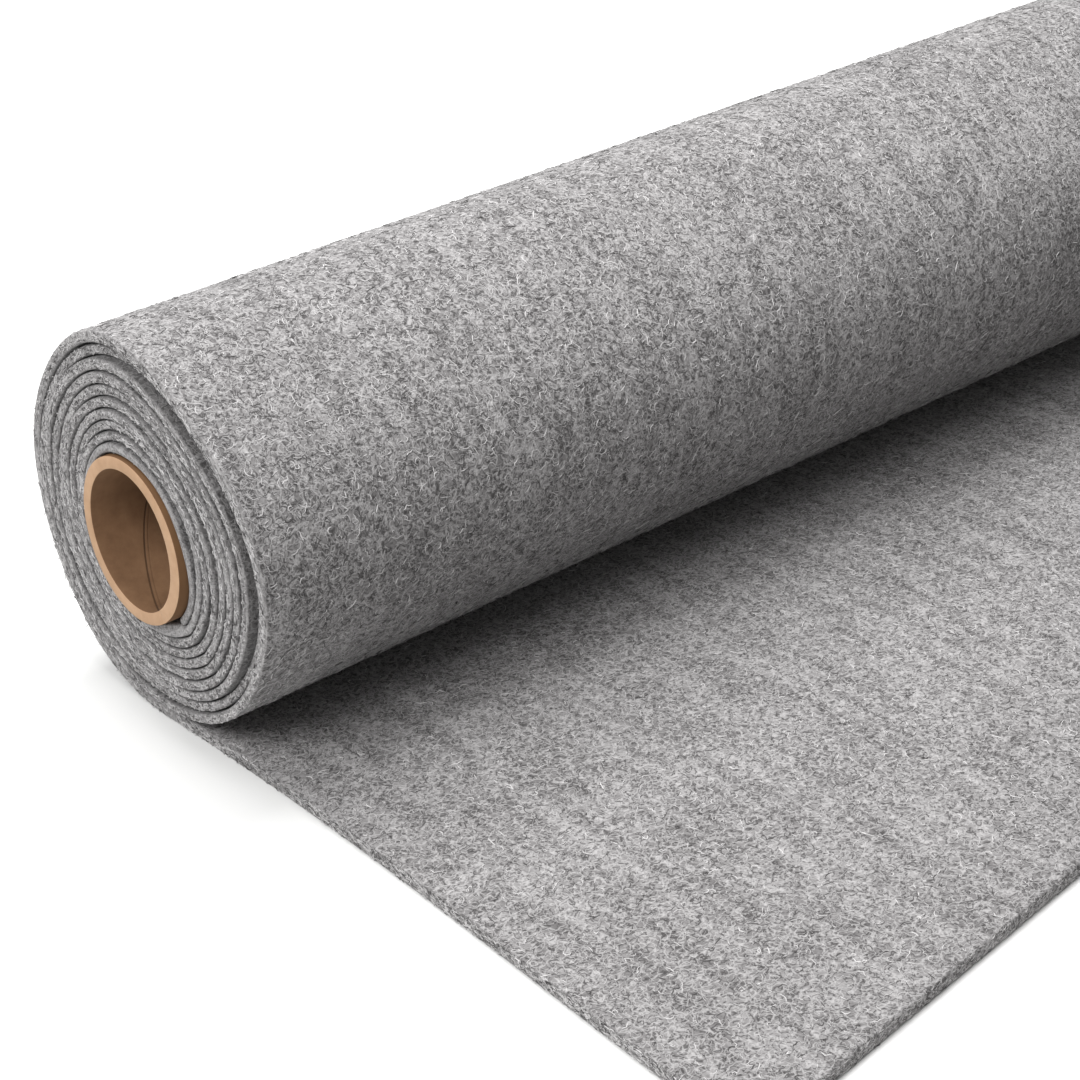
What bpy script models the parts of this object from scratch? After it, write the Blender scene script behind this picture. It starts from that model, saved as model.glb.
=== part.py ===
"""A roll of thick grey felt on a paperboard core, lying on its side with its loose end rolled out flat.

Units are metres and +Z is up. X runs along the core, and the loose end reaches towards -Y.
The origin is on the surface that the felt lies on, under the middle of the whole thing's box.
"""

import math

import bmesh
import bpy

# The felt as it is sold, and how thick it is where it lies loose.
FELT_WIDTH = 1.000
LOOSE_THICKNESS = 0.0052

# The paperboard tube, which is a little longer than the felt is wide.
CORE_BORE = 0.0500
CORE_WALL = 0.0045
CORE_LENGTH = FELT_WIDTH + 0.0122
CORE_RIM = 0.0006
CORE_SIDES = 64
CORE_CLEARANCE = 0.0004

# The winding. Its inner end lies five steps forward of the underside, and ten turns on it runs out on the floor.
STEPS_PER_TURN = 40
INNER_END_STEPS = 5
WHOLE_TURNS = 10
WOUND_RADIUS = 0.0688
TURNS_LOOSEN = 0.10
# The first turn hugs the core and then climbs over its own inner end. Each later turn spreads that climb out.
CLIMB_POWER = 12.0

# The roll isn't quite round. Each row is a wave round the outer turns: its count, its cosine and its sine,
# with the angle counted from the underside towards the loose end.
OUT_OF_ROUND = (
    (2, -0.0009, -0.0017),
    (3, -0.0007, -0.0013),
    (4, 0.0003, 0.0007),
    (5, -0.0007, 0.0),
)

# The core lies a little high in the felt and towards its front, and the roll's weight presses its underside flat.
CORE_RISE = 0.0014
CORE_FORWARD = 0.0013
FLAT_SPOT = 0.0003
PRESSED_BELOW = 0.0008

# The inner turns have slid towards -X, so that one end of the roll bulges and the other is dished.
TELESCOPE = 0.0031

# The relief at both ends: each turn has rounded rims, with a groove between it and the next turn.
RIM_WIDTH = 0.0011
RIM_DEPTH = 0.0011
GROOVE_DEPTH = 0.0030
OUTER_GROOVE_DEPTH = 0.0065
OUTER_GROOVE_TURNS = 1.4

# The loose end, from under the roll's axis to its corner at the -X side.
LOOSE_LENGTH = 0.2900
LOOSE_STEPS = 10
# It is cut askew from that corner, and square to the core further along.
CUT_SLOPE = 0.1290
CUT_ASKEW_UNTIL = 0.179
CUT_SQUARE_FROM = 0.286
# Its sides bow towards +X beside the roll and swing back to -X at the corner: a cubic of the share of its length.
SIDE_CUBIC = (0.0188, -0.0332, 0.0147)

# Stations along the core as shares of the felt's width, closer together where the cut is askew.
STATIONS = (0.0, 0.06, 0.12, 0.18, 0.21, 0.24, 0.27, 0.30, 0.44, 0.58, 0.72, 0.86, 1.0)

FELT_GREY = (0.40, 0.395, 0.385, 1.0)
KRAFT_BROWN = (0.42, 0.27, 0.16, 1.0)
FELT_ROUGHNESS = 0.95
KRAFT_ROUGHNESS = 0.85
SMOOTH_BELOW = math.radians(32.0)

CORE_RADIUS = CORE_BORE / 2.0 + CORE_WALL
HOLE_RADIUS = CORE_RADIUS + CORE_CLEARANCE
STEP_ANGLE = 2.0 * math.pi / STEPS_PER_TURN
LAST_STEP = WHOLE_TURNS * STEPS_PER_TURN - INNER_END_STEPS
OUTER_STEP = LAST_STEP + STEPS_PER_TURN


def smooth(share):
    """Rises from 0 to 1 as the share does, level at both ends."""
    share = min(max(share, 0.0), 1.0)
    return share * share * (3.0 - 2.0 * share)


def turn_radius(step):
    """The radius of the winding's face at this step, counted from the felt's inner end."""
    if step > LAST_STEP:
        return WOUND_RADIUS + LOOSE_THICKNESS * (step - LAST_STEP) / STEPS_PER_TURN
    whole, part = divmod(step / STEPS_PER_TURN, 1.0)
    wound = step / LAST_STEP
    power = 1.0 + (CLIMB_POWER - 1.0) * (1.0 - wound) ** 2
    share = (whole + part**power) * STEPS_PER_TURN / LAST_STEP
    share = share * (1.0 + TURNS_LOOSEN * share) / (1.0 + TURNS_LOOSEN)
    return HOLE_RADIUS + (WOUND_RADIUS - HOLE_RADIUS) * share


def turn_offset(step, inset=0.0):
    """The (y, z) of the winding's face at this step from the roll's axis, moved outwards by inset."""
    angle = (INNER_END_STEPS + step) * STEP_ANGLE
    radius = turn_radius(step)
    outwards = min((radius - HOLE_RADIUS) / (WOUND_RADIUS - HOLE_RADIUS), 1.0)
    waves = sum(cosine * math.cos(count * angle) + sine * math.sin(count * angle)
                for count, cosine, sine in OUT_OF_ROUND)
    radius += inset + outwards * waves
    inwards = 1.0 - smooth((step - STEPS_PER_TURN) / (LAST_STEP - STEPS_PER_TURN))
    y = -CORE_FORWARD * inwards - radius * math.sin(angle)
    z = CORE_RISE * inwards - radius * math.cos(angle)
    return y, z


def axis_height():
    """The axis's height where the roll's outside, pressed flat by the flat spot, just rests."""
    return -FLAT_SPOT - min(turn_offset(step)[1] for step in range(LAST_STEP, OUTER_STEP + 1))


AXIS_HEIGHT = axis_height()


def turn_place(step, inset=0.0):
    """The (y, z) of the winding's face at this step, moved outwards by inset, with y from under the axis."""
    y, z = turn_offset(step, inset)
    return y, AXIS_HEIGHT + z


def surface_place(step):
    """The (y, z) of the roll's outside at this step, pressed flat against what it lies on."""
    y, z = turn_place(step)
    if step == LAST_STEP + 1:
        return y, max(z, LOOSE_THICKNESS)
    if step > OUTER_STEP - STEPS_PER_TURN / 4 and z < PRESSED_BELOW:
        return y, 0.0
    return y, z


def slid(step):
    """How far the ends of the felt have slid towards -X at this step."""
    return TELESCOPE * max(1.0 - step / LAST_STEP, 0.0)


def groove_depth(step):
    """The depth below the turns' ends of the face at this step, deepest around the last turns."""
    if step < STEPS_PER_TURN or step > LAST_STEP:
        return RIM_DEPTH
    turns_left = (LAST_STEP - step) / STEPS_PER_TURN
    share = smooth(2.0 * (1.0 - turns_left / OUTER_GROOVE_TURNS))
    return GROOVE_DEPTH + (OUTER_GROOVE_DEPTH - GROOVE_DEPTH) * share


def cut_reach(across):
    """How far forward of the axis the loose end is cut, this far across from its -X side."""
    askew = min(across, CUT_ASKEW_UNTIL)
    easing_width = CUT_SQUARE_FROM - CUT_ASKEW_UNTIL
    easing = min(max((across - CUT_ASKEW_UNTIL) / easing_width, 0.0), 1.0)
    eased = easing_width * (easing - easing * easing / 2.0)
    return LOOSE_LENGTH - CUT_SLOPE * (askew + eased)


def side_shift(forward):
    """How far towards +X the loose end lies, this far forward of the axis."""
    share = forward / LOOSE_LENGTH
    return sum(factor * share ** (power + 1) for power, factor in enumerate(SIDE_CUBIC))


class FeltEnd:
    """The end face of the roll and of its loose sheet, at -X (side -1) or +X (side 1)."""

    def __init__(self, felt, side):
        self.felt = felt
        self.side = side
        self.faces = [self.wound_vertex(step, 0.0, groove_depth(step)) for step in range(OUTER_STEP + 1)]
        self.crests = []
        for step in range(LAST_STEP + 1):
            inner = self.wound_vertex(step, RIM_WIDTH, 0.0)
            outer = self.wound_vertex(step + STEPS_PER_TURN, -RIM_WIDTH, 0.0, step)
            self.crests.append((inner, outer))

    def wound_vertex(self, step, inset, depth, slid_step=None):
        """A vertex on the winding's face at this step, or inset from it, and this deep below the end."""
        place = turn_place(step, inset) if inset else surface_place(step)
        end = self.side * (FELT_WIDTH / 2.0 - depth) - slid(step if slid_step is None else slid_step)
        return self.felt.vertex(end, *place)

    def skin_turns(self, skin):
        """Covers each turn's end: up from its inner groove, across its crest and down to its outer groove."""
        for step in range(LAST_STEP):
            beyond = step + STEPS_PER_TURN
            near = (self.faces[step], *self.crests[step], self.faces[beyond])
            far = (self.faces[step + 1], *self.crests[step + 1], self.faces[beyond + 1])
            skin(near, far)


class Felt:
    """The roll and its loose end as one closed skin."""

    def __init__(self):
        self.bm = bmesh.new()
        back = max(turn_place(step)[0] for step in range(LAST_STEP, OUTER_STEP))
        self.axis_y = (LOOSE_LENGTH - back) / 2.0
        self.left = FeltEnd(self, -1)
        self.right = FeltEnd(self, 1)

    def vertex(self, x, y, z):
        """A vertex, with y measured from under the roll's axis."""
        return self.bm.verts.new((x, y + self.axis_y, z))

    def skin(self, near, far):
        """Quads between two rows of vertices, leaving out the ones that the rows share."""
        for a, b, c, d in zip(near, near[1:], far[1:], far):
            corners = list(dict.fromkeys((a, b, c, d)))
            self.bm.faces.new(corners)

    def row(self, make, left, right):
        """A row of vertices across the felt, from the left end's vertex to the right end's."""
        inner = [make(share * FELT_WIDTH) for share in STATIONS[1:-1]]
        return [left, *inner, right]

    def loose_row(self, step, z, rim):
        """The row across the loose end this many steps out, at height z, with its rims set in by rim."""

        def make(across, edge=0.0):
            reach = cut_reach(across)
            start = -turn_place(LAST_STEP + 1)[0]
            forward = start + (reach - start) * (step - 1) / (LOOSE_STEPS - 1)
            at_cut = rim if step == LOOSE_STEPS else 0.0
            x = across - FELT_WIDTH / 2.0 + side_shift(forward) + edge
            return self.vertex(x, at_cut - forward, z)

        left = make(0.0, rim)
        right = make(FELT_WIDTH, -rim)
        if rim or step == LOOSE_STEPS:
            return self.row(make, left, right)
        return [left, right]

    def build_outside(self):
        """Skins the roll's outside, the underside, the loose end's two faces and its cut edge."""
        rows = []
        for step in range(LAST_STEP + 1, OUTER_STEP + 1):
            place = surface_place(step)
            rows.append(self.row(
                lambda across: self.vertex(across - FELT_WIDTH / 2.0, *place),
                self.left.faces[step], self.right.faces[step]))
        for near, far in zip(rows, rows[1:]):
            self.skin(near, far)
        loose = [self.loose_rows(step) for step in range(1, LOOSE_STEPS + 1)]
        loose[0][0] = rows[0]
        tops = [rows_at[0] for rows_at in loose]
        bottoms = [rows[-1]] + [rows_at[3] for rows_at in loose]
        for near, far in [*zip(tops, tops[1:]), *zip(bottoms, bottoms[1:])]:
            self.skin(near, far)
        for near, far in zip(loose[-1], loose[-1][1:]):
            self.skin(near, far)
        return loose

    def loose_rows(self, step):
        """The four rows across the loose end at this step: top, upper rim, lower rim and bottom."""
        return [
            self.loose_row(step, LOOSE_THICKNESS, RIM_DEPTH),
            self.loose_row(step, LOOSE_THICKNESS - RIM_WIDTH, 0.0),
            self.loose_row(step, RIM_WIDTH, 0.0),
            self.loose_row(step, 0.0, RIM_DEPTH),
        ]

    def build_ends(self, loose):
        """Skins both ends of the roll and both sides of the loose end."""
        for end, at in ((self.left, 0), (self.right, -1)):
            end.skin_turns(self.skin)
            last = (end.faces[LAST_STEP], *end.crests[LAST_STEP], end.faces[OUTER_STEP])
            columns = [last] + [tuple(row[at] for row in rows) for rows in loose]
            for near, far in zip(columns, columns[1:]):
                self.skin(near, far)

    def build_hole(self):
        """Skins the hole for the core, with the felt's inner cut end standing in it."""
        loops = []
        for end in (self.left, self.right):
            inner, outer = end.crests[0]
            loops.append([*end.faces[:STEPS_PER_TURN + 1], outer, inner, end.faces[0]])
        self.skin(*loops)

    def build(self):
        """Returns the finished skin."""
        loose = self.build_outside()
        self.build_ends(loose)
        self.build_hole()
        unused = [vertex for vertex in self.bm.verts if not vertex.link_faces]
        for vertex in unused:
            self.bm.verts.remove(vertex)
        return self.bm


def core_skin(axis_y):
    """The paperboard tube: its wall's outline, with small rims, carried round the axis."""
    bm = bmesh.new()
    half = CORE_LENGTH / 2.0
    bore = CORE_BORE / 2.0
    outline = (
        (-half, bore + CORE_RIM), (-half, CORE_RADIUS - CORE_RIM),
        (-half + CORE_RIM, CORE_RADIUS), (half - CORE_RIM, CORE_RADIUS),
        (half, CORE_RADIUS - CORE_RIM), (half, bore + CORE_RIM),
        (half - CORE_RIM, bore), (-half + CORE_RIM, bore),
    )
    centre_y = axis_y - CORE_FORWARD
    centre_z = AXIS_HEIGHT + CORE_RISE
    rings = []
    for side in range(CORE_SIDES):
        angle = 2.0 * math.pi * side / CORE_SIDES
        rings.append([
            bm.verts.new((x, centre_y + radius * math.cos(angle), centre_z + radius * math.sin(angle)))
            for x, radius in outline])
    for side in range(CORE_SIDES):
        ring, following = rings[side - 1], rings[side]
        for corner in range(len(outline)):
            bm.faces.new((ring[corner - 1], ring[corner], following[corner], following[corner - 1]))
    return bm


def plain_material(name, colour, roughness):
    """A Principled material of one colour."""
    material = bpy.data.materials.new(name)
    material.use_nodes = True
    shader = material.node_tree.nodes["Principled BSDF"]
    shader.inputs["Base Color"].default_value = colour
    shader.inputs["Roughness"].default_value = roughness
    shader.inputs["Metallic"].default_value = 0.0
    return material


def add_part(name, bm, material):
    """Puts the skin in the scene under this name, smooth where it is round."""
    bmesh.ops.recalc_face_normals(bm, faces=bm.faces)
    mesh = bpy.data.meshes.new(name)
    bm.to_mesh(mesh)
    bm.free()
    mesh.materials.append(material)
    mesh.shade_smooth()
    mesh.set_sharp_from_angle(angle=SMOOTH_BELOW)
    part = bpy.data.objects.new(name, mesh)
    bpy.context.scene.collection.objects.link(part)


for old in list(bpy.data.objects):
    bpy.data.objects.remove(old, do_unlink=True)

felt = Felt()
add_part("felt", felt.build(), plain_material("felt_grey", FELT_GREY, FELT_ROUGHNESS))
add_part("core", core_skin(felt.axis_y), plain_material("kraft_brown", KRAFT_BROWN, KRAFT_ROUGHNESS))
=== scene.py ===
"""A loosely wound roll of grey needle felt on a cardboard core, dressed for its picture."""

import logging
import math
from dataclasses import dataclass, field
from enum import Enum
from functools import partial

import bpy
import numpy as np
from mathutils import Matrix, Vector


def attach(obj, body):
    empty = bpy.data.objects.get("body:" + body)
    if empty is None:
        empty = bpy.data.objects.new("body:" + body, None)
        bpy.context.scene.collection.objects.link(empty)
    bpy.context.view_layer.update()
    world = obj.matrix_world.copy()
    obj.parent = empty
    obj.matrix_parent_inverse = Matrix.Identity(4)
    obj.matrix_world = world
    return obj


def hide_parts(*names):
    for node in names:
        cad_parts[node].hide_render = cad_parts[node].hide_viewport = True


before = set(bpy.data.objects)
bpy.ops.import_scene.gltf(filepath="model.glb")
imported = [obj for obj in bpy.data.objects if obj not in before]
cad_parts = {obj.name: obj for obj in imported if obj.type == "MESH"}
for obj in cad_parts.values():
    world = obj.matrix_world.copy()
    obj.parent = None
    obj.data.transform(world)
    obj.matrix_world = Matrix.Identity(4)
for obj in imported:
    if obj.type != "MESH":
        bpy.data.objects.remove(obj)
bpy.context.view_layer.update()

LOG = logging.getLogger("felt_roll")
MM = 0.001

NOISE, MIX, MATH = "ShaderNodeTexNoise", "ShaderNodeMix", "ShaderNodeMath"
VECTOR_MATH, ATTRIBUTE, BUMP = "ShaderNodeVectorMath", "ShaderNodeAttribute", "ShaderNodeBump"
COLOURS = {"data_type": "RGBA"}
SOLID, FLAT = {"noise_dimensions": "3D"}, {"noise_dimensions": "2D"}
ADD, SUBTRACT, MULTIPLY, DIVIDE = ({"operation": name} for name in ("ADD", "SUBTRACT", "MULTIPLY", "DIVIDE"))
MAXIMUM, ABSOLUTE, ROOT, ANGLE = ({"operation": name} for name in ("MAXIMUM", "ABSOLUTE", "SQRT", "ARCTAN2"))
FRACTION, LESS, MORE = ({"operation": name} for name in ("FRACT", "LESS_THAN", "GREATER_THAN"))
HELD = {"use_clamp": True}


class Side(Enum):
    """An end of the roll, by the sign of its X."""

    NEAR = -1
    FAR = 1


class Lay(Enum):
    """How a loose fibre lies on the felt."""

    ON_FACE = "on_face"
    ON_RIM = "on_rim"


def linear(hex_colour: str) -> tuple[float, float, float, float]:
    """Turns an sRGB hex value to a linear colour.

    Args:
        hex_colour: Six hex digits, such as "8C8A88".

    Returns:
        Linear red, green, blue and an alpha of 1.
    """
    channels = [int(hex_colour[i:i + 2], 16) / 255.0 for i in (0, 2, 4)]
    decoded = [c / 12.92 if c <= 0.04045 else ((c + 0.055) / 1.055) ** 2.4 for c in channels]
    return (*decoded, 1.0)


def smooth(share: np.ndarray | float) -> np.ndarray | float:
    """Rises from 0 to 1 as the share does, level at both ends.

    Args:
        share: Any number or array; what lies outside 0 to 1 is clipped.

    Returns:
        The eased share, of the same shape.
    """
    share = np.clip(share, 0.0, 1.0)
    return share * share * (3.0 - 2.0 * share)


def waves(at: np.ndarray, lengths: tuple[float, ...], seed: int) -> np.ndarray:
    """A smooth uneven line made of a few waves, about -1 to 1.

    Args:
        at: Where the line is wanted, in metres or turns.
        lengths: The waves' lengths, in the same unit.
        seed: Sets the waves' phases.

    Returns:
        The line's height at each place.
    """
    rng = np.random.default_rng(seed)
    total = np.zeros_like(at, dtype=float)
    for length in lengths:
        total += np.sin(2.0 * math.pi * (at / length + rng.random()))
    return total / len(lengths)


def add_node(tree: bpy.types.NodeTree, kind: str, settings: dict | None = None, inputs: dict | tuple = (),
             output: int | str = 0) -> bpy.types.NodeSocket:
    """Adds a node with its settings and what feeds it.

    Args:
        tree: The material's node tree.
        kind: The node's type name.
        settings: Attributes of the node itself.
        inputs: A value or an output socket for each input socket, by its name or number, or in order.
        output: Which output is wanted, by its name or number.

    Returns:
        The wanted output socket.
    """
    node = tree.nodes.new(kind)
    for name, value in (settings or {}).items():
        setattr(node, name, value)
    fed = inputs if isinstance(inputs, dict) else dict(enumerate(inputs))
    for name, value in fed.items():
        if isinstance(value, bpy.types.NodeSocket):
            tree.links.new(value, node.inputs[name])
        else:
            node.inputs[name].default_value = value
    return node.outputs[output]


def new_material(name: str) -> tuple[bpy.types.Material, bpy.types.NodeTree, bpy.types.Node]:
    """Makes a material with its Principled shader.

    Args:
        name: The material's name.

    Returns:
        The material, its node tree and its shader node.
    """
    material = bpy.data.materials.new(name)
    material.use_nodes = True
    tree = material.node_tree
    return material, tree, tree.nodes["Principled BSDF"]


@dataclass(frozen=True)
class Curls:
    """A layer of curling fibre lines: the curls' size, how fast a line fades to its sides, and a shift."""

    size: float
    thinness: float
    shift: float
    roughness: float = 0.45
    distortion: float = 0.6

    def draw(self, tree: bpy.types.NodeTree, place: bpy.types.NodeSocket) -> bpy.types.NodeSocket:
        """Draws the lines as the edges between the patches of a noise.

        Args:
            tree: The material's node tree.
            place: The coordinates, in metres.

        Returns:
            A socket of 0 between the lines and 1 along them.
        """
        add = partial(add_node, tree)
        moved = add(VECTOR_MATH, ADD, (place, (self.shift, self.shift * 0.7, -self.shift)))
        noise = add(NOISE, SOLID, {"Vector": moved, "Scale": 1.0 / self.size, "Detail": 1.0,
                                   "Roughness": self.roughness, "Distortion": self.distortion}, "Fac")
        away = add(MATH, ABSOLUTE, (add(MATH, SUBTRACT, (noise, 0.5)),))
        return add(MATH, SUBTRACT | HELD, (1.0, add(MATH, MULTIPLY, (away, self.thinness))))


@dataclass(frozen=True)
class NeedleFelt:
    """Heathered needle-punched felt: crimped fibres of several greys, matted by barbed needles.

    It gives the eye a soft matt face with no gloss, small pale and dark curls, faint streaks along its length,
    layers in its cut sides, and painted shade deep in the grooves between turns. Real fibres are about 0.03 mm
    thick, so the curls are drawn coarser, to show.
    """

    name: str = "grey_needle_felt"
    dark: str = "575555"
    body: str = "797777"
    light: str = "959393"
    deep: str = "302E2E"
    bright: str = "B9B7B7"
    # Painted shade: the colour laid deep in the grooves between turns.
    groove: str = "2C2B2A"
    stops: tuple[float, float, float] = (0.15, 0.5, 0.85)
    first_curls: Curls = Curls(2.6 * MM, 22.0, 0.0)
    second_curls: Curls = Curls(2.6 * MM * 1.3, 23.0, 5.3)
    dark_curls: Curls = Curls(2.6 * MM * 0.9, 14.0, 3.1)
    grain_size: float = 1.3 * MM
    clump_size: float = 8.0 * MM
    streak_size: tuple[float, float] = (55.0 * MM, 7.0 * MM)
    layers_a_metre: tuple[float, float] = (150.0, 1300.0)
    layer_floor: float = 0.3
    layer_contrast: float = 2.2
    clump_swing: float = 0.5
    web_swing: float = 0.95
    grain_swing: float = 0.65
    dark_share: float = 0.8
    pale_share: float = 0.6
    layer_share: float = 0.36
    # How strongly shade is painted into the grooves between turns.
    painted_groove_shade_share: float = 0.4
    curl_relief: float = 0.6
    grain_relief: float = 0.8
    clump_relief: float = 0.45
    relief_strength: float = 0.45
    relief_depth: float = 0.7 * MM
    roughness: float = 0.95
    ior: float = 1.5
    specular: float = 0.2
    sheen: float = 0.2
    sheen_roughness: float = 0.4

    def build(self) -> bpy.types.Material:
        """Builds the material.

        Returns:
            The felt's material, which reads the ribbon's UV map, its rim attribute and the attribute that says where
            shade is painted deep in the grooves.
        """
        material, tree, shader = new_material(self.name)
        add = partial(add_node, tree)
        place = add("ShaderNodeTexCoord", output="Object")
        cloth = add("ShaderNodeUVMap", {"uv_map": "cloth"}, output="UV")
        rim = add(ATTRIBUTE, {"attribute_name": "rim"}, output="Fac")
        # How deep a point lies between turns, where shade is painted into the felt's colour.
        groove = add(ATTRIBUTE, {"attribute_name": "groove"}, output="Fac")

        pale = add(MATH, MAXIMUM, (self.first_curls.draw(tree, place), self.second_curls.draw(tree, place)))
        dark = self.dark_curls.draw(tree, place)
        grain = add(NOISE, SOLID, {"Vector": place, "Scale": 1.0 / self.grain_size, "Detail": 2.0,
                                   "Roughness": 0.6}, "Fac")
        clumps = add(NOISE, SOLID, {"Vector": place, "Scale": 1.0 / self.clump_size, "Detail": 3.0,
                                    "Roughness": 0.6}, "Fac")
        # The carded web leaves faint streaks along the felt's length.
        stretch = add(VECTOR_MATH, MULTIPLY, (cloth, (1.0 / self.streak_size[0], 1.0 / self.streak_size[1], 1.0)))
        web = add(NOISE, FLAT, {"Vector": stretch, "Scale": 1.0, "Detail": 3.0, "Roughness": 0.55,
                                "Distortion": 0.3}, "Fac")
        # On the cut sides the punched layers show as streaks that run along the winding.
        along = add(VECTOR_MATH, MULTIPLY, (cloth, (*self.layers_a_metre, 1.0)))
        layers = add(NOISE, FLAT, {"Vector": along, "Scale": 1.0, "Detail": 3.0, "Roughness": 0.6,
                                   "Distortion": 0.4}, "Fac")

        level = 0.5
        for source, swing in ((clumps, self.clump_swing), (web, self.web_swing), (grain, self.grain_swing)):
            off_middle = add(MATH, SUBTRACT, (source, 0.5))
            level = add(MATH, ADD, (add(MATH, MULTIPLY, (off_middle, swing)), level))
        ground = add("ShaderNodeValToRGB", None, (level,))
        ramp = ground.node.color_ramp
        ramp.elements.new(self.stops[1])
        for element, stop, colour in zip(ramp.elements, self.stops, (self.dark, self.body, self.light)):
            element.position, element.color = stop, linear(colour)

        layer_level = add(MATH, MULTIPLY | HELD, (add(MATH, SUBTRACT, (layers, self.layer_floor)),
                                                  self.layer_contrast))
        layered = add(MIX, COLOURS, {0: layer_level, 6: linear(self.dark), 7: linear(self.bright)}, 2)
        colour = ground
        # The curls and the cut sides' layers are the felt's own colour; the last mix paints shade deep in the grooves
        # between turns.
        for source, share, over in ((dark, self.dark_share, linear(self.deep)),
                                    (pale, self.pale_share, linear(self.bright)),
                                    (rim, self.layer_share, layered),
                                    (groove, self.painted_groove_shade_share, linear(self.groove))):
            colour = add(MIX, COLOURS, {0: add(MATH, MULTIPLY, (source, share)), 6: colour, 7: over}, 2)
        tree.links.new(colour, shader.inputs["Base Color"])

        relief = add(MATH, MULTIPLY, (layers, rim))
        for source, height in ((pale, self.curl_relief), (dark, -self.curl_relief),
                               (grain, self.grain_relief), (clumps, self.clump_relief)):
            relief = add(MATH, ADD, (relief, add(MATH, MULTIPLY, (source, height))))
        bump = add(BUMP, None, {"Height": relief, "Strength": self.relief_strength, "Distance": self.relief_depth})
        tree.links.new(bump, shader.inputs["Normal"])
        shader.inputs["Roughness"].default_value = self.roughness
        shader.inputs["IOR"].default_value = self.ior
        shader.inputs["Specular IOR Level"].default_value = self.specular
        shader.inputs["Sheen Weight"].default_value = self.sheen
        shader.inputs["Sheen Roughness"].default_value = self.sheen_roughness
        return material


@dataclass(frozen=True)
class LooseFibre:
    """A stray crimped fibre of the felt: a matt thread of one grey, a little paler or darker along its length."""

    name: str
    colour: str
    tip: str
    patch_size: float = 9.0 * MM
    roughness: float = 0.8
    ior: float = 1.5
    specular: float = 0.2

    def build(self) -> bpy.types.Material:
        """Builds the material.

        Returns:
            The fibre's material.
        """
        material, tree, shader = new_material(self.name)
        add = partial(add_node, tree)
        place = add("ShaderNodeTexCoord", output="Object")
        noise = add(NOISE, SOLID, {"Vector": place, "Scale": 1.0 / self.patch_size, "Detail": 2.0}, "Fac")
        colour = add(MIX, COLOURS, {0: noise, 6: linear(self.colour), 7: linear(self.tip)}, 2)
        tree.links.new(colour, shader.inputs["Base Color"])
        shader.inputs["Roughness"].default_value = self.roughness
        shader.inputs["IOR"].default_value = self.ior
        shader.inputs["Specular IOR Level"].default_value = self.specular
        return material


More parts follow.
